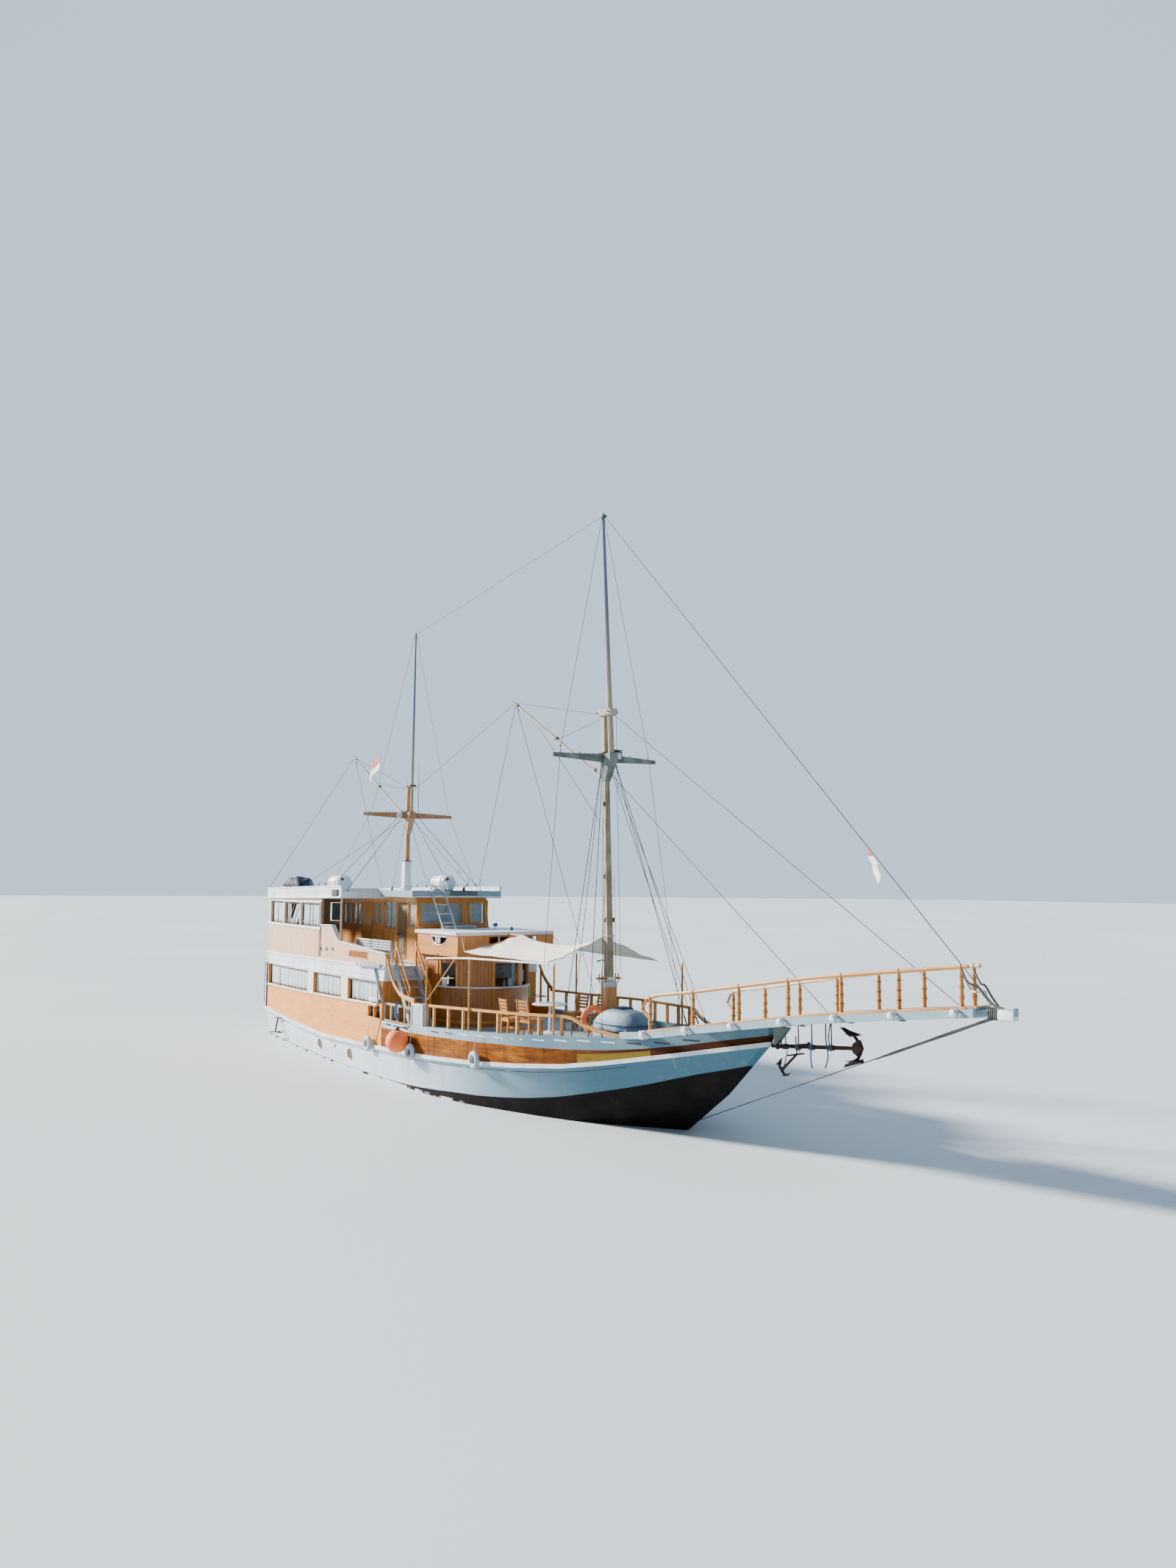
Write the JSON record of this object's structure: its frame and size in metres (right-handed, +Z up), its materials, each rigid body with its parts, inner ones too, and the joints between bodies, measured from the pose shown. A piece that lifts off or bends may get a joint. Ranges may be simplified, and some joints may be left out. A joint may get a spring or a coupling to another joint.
{
  "type": "two-masted wooden motor sailer of the phinisi type (dhow sailing boat)",
  "caption": "Wooden two-masted sailing boat with a two-level deckhouse, long bowsprit platform, awning, rudder and propeller.",
  "frame": {"origin": "amidships on the centre plane at the waterline", "axes": "+X to the bow, +Y to port, +Z up"},
  "size_m": [28.11, 6.1322, 16.0725],
  "materials": {
    "white_paint": "white paint on planks",
    "bottom_paint": "black bottom paint",
    "brown_wood": "dark varnish",
    "peach_wood": "faded varnish",
    "honey_wood": "glossy varnish",
    "pale_wood": "bare pale wood",
    "grey_wood": "weathered",
    "grey_blue": "grey-blue paint",
    "canvas": "cream canvas",
    "wire": "dull wire",
    "bronze": "dull bronze",
    "aluminium": "brushed",
    "iron": "rusty",
    "tank_plastic": "white",
    "orange_plastic": "orange",
    "tarp": "blue tarpaulin"
  },
  "bodies": {
    "boat": {"hull": "white_paint", "rub_rail": "white_paint", "upper_deck": "white_paint", "main_roof": "white_paint", "saloon_roof": "white_paint", "bowsprit_frame": "white_paint", "keel": "bottom_paint", "topsides_fore": "brown_wood", "lower_side_stbd": "peach_wood", "lower_side_port": "peach_wood", "lower_stern": "peach_wood", "upper_side_stbd": "peach_wood", "upper_side_port": "peach_wood", "upper_stern": "peach_wood", "banister_stbd": "peach_wood", "banister_port": "peach_wood", "house_side_stbd": "honey_wood", "house_side_port": "honey_wood", "house_front": "honey_wood", "house_back": "honey_wood", "saloon_walls": "honey_wood", "saloon_wing_stbd": "honey_wood", "saloon_wing_port": "honey_wood", "saloon_crown": "honey_wood", "rail_stbd": "honey_wood", "rail_port": "honey_wood", "awning_frame_stbd": "honey_wood", "awning_pole_port_aft": "honey_wood", "awning_pole_port_fore": "honey_wood", "bow_rail_stbd": "honey_wood", "bow_rail_port": "honey_wood", "tabernacle": "honey_wood", "bowsprit_deck": "pale_wood", "main_mast": "pale_wood", "mizzen_mast": "pale_wood", "main_topmast": "grey_wood", "main_crosstree": "grey_wood", "mizzen_topmast": "grey_wood", "mizzen_crosstree": "grey_wood", "gunwale": "grey_blue", "helm_roof": "grey_blue", "stairs": "grey_blue", "tender": "grey_blue", "awning": "canvas", "bobstay": "wire", "main_shrouds": "wire", "mizzen_shrouds": "wire", "head_stays": "wire", "roof_ladder": "aluminium", "anchor": "iron", "roof_tank_fore": "tank_plastic", "roof_tank_aft": "tank_plastic", "ball_fender": "orange_plastic", "tarp_bundle": "tarp"},
    "propeller": {"propeller": "bronze"},
    "rudder": {"rudder": "bottom_paint"},
    "main_gaff": {"main_gaff": "grey_wood"},
    "mizzen_gaff": {"mizzen_gaff": "grey_wood"},
    "gate": {"boarding_gate": "pale_wood"},
    "door": {"house_door": "brown_wood"}
  },
  "joints": [
    {"name": "propeller_turn", "type": "hinge", "parent": "boat", "child": "propeller", "pos_m": [-7.78, 0, -0.98], "axis": [1, 0, 0], "continuous": true},
    {"name": "rudder_turn", "type": "hinge", "parent": "boat", "child": "rudder", "pos_m": [-8.2, 0, -1], "axis": [0, 0, 1], "range_deg": [-35, 35]},
    {"name": "main_gaff_swing", "type": "hinge", "parent": "boat", "child": "main_gaff", "pos_m": [7.5689, 0, 7.8], "axis": [0, 0, 1], "range_deg": [-18, 18]},
    {"name": "mizzen_gaff_swing", "type": "hinge", "parent": "boat", "child": "mizzen_gaff", "pos_m": [-2.82607, 0, 7.25], "axis": [0, 0, 1], "range_deg": [-18, 18]},
    {"name": "gate_swing", "type": "hinge", "parent": "boat", "child": "gate", "pos_m": [3.158, -2.7, 1.8], "axis": [0, 0, 1], "range_deg": [0, 90]},
    {"name": "door_swing", "type": "hinge", "parent": "boat", "child": "door", "pos_m": [-0.304, -1.159, 3.8], "axis": [0, 0, 1], "range_deg": [0, 90]}
  ]
}
